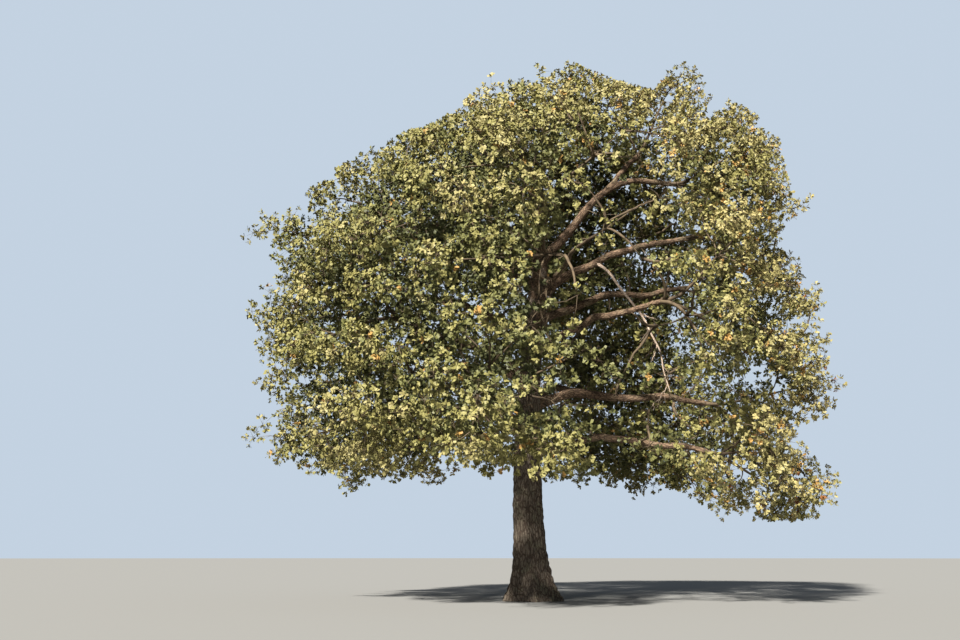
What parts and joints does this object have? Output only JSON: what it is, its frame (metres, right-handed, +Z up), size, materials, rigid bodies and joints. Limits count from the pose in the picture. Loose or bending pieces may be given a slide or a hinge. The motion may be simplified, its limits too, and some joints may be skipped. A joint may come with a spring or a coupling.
{
  "type": "oak tree",
  "caption": "Tall old oak with a flared trunk forking into long crooked boughs that carry a broad, uneven, domed crown of lobed leaves turning from green to ochre.",
  "frame": {"origin": "middle of the flat cut at ground level, under the trunk", "axes": "+Z up; +X towards the side where the crown reaches furthest, which is the right of the picture; +Y away from the viewer"},
  "size_m": [23.5561, 22.3503, 21.4142],
  "materials": {
    "trunk_bark": "rough",
    "bough_bark": "rough",
    "bare_wood": "rough",
    "foliage": "matte"
  },
  "bodies": {
    "root": {"bough_back_high": "bough_bark", "bough_back_left": "bough_bark", "bough_back_right": "bough_bark", "bough_front_high": "bough_bark", "bough_front_left": "bough_bark", "bough_front_low": "bough_bark", "bough_front_mid": "bough_bark", "bough_front_right": "bough_bark", "bough_leader_right": "bough_bark", "bough_leader_right_upper": "bough_bark", "bough_leader_top": "bough_bark", "bough_left_high": "bough_bark", "bough_left_low": "bough_bark", "bough_left_mid": "bough_bark", "bough_right_high": "bough_bark", "bough_right_long": "bough_bark", "bough_right_low": "bough_bark", "bough_right_mid": "bough_bark", "dead_bough": "bare_wood", "foliage_back_high_1": "foliage", "foliage_back_high_2": "foliage", "foliage_back_left_1": "foliage", "foliage_back_left_2": "foliage", "foliage_back_left_3": "foliage", "foliage_back_right_1": "foliage", "foliage_back_right_2": "foliage", "foliage_back_right_3": "foliage", "foliage_front_high_1": "foliage", "foliage_front_high_2": "foliage", "foliage_front_left_1": "foliage", "foliage_front_left_2": "foliage", "foliage_front_low_1": "foliage", "foliage_front_low_2": "foliage", "foliage_front_mid_1": "foliage", "foliage_front_mid_2": "foliage", "foliage_front_right_1": "foliage", "foliage_front_right_2": "foliage", "foliage_front_right_3": "foliage", "foliage_leader_right_1": "foliage", "foliage_leader_right_2": "foliage", "foliage_leader_right_upper_1": "foliage", "foliage_leader_top_1": "foliage", "foliage_leader_top_2": "foliage", "foliage_leader_top_3": "foliage", "foliage_left_high_1": "foliage", "foliage_left_high_2": "foliage", "foliage_left_high_3": "foliage", "foliage_left_low_1": "foliage", "foliage_left_low_2": "foliage", "foliage_left_mid_1": "foliage", "foliage_left_mid_2": "foliage", "foliage_right_high_1": "foliage", "foliage_right_high_2": "foliage", "foliage_right_long_1": "foliage", "foliage_right_long_2": "foliage", "foliage_right_low_1": "foliage", "foliage_right_low_2": "foliage", "foliage_right_mid_1": "foliage", "foliage_right_mid_2": "foliage", "trunk": "trunk_bark"}
  },
  "joints": []
}
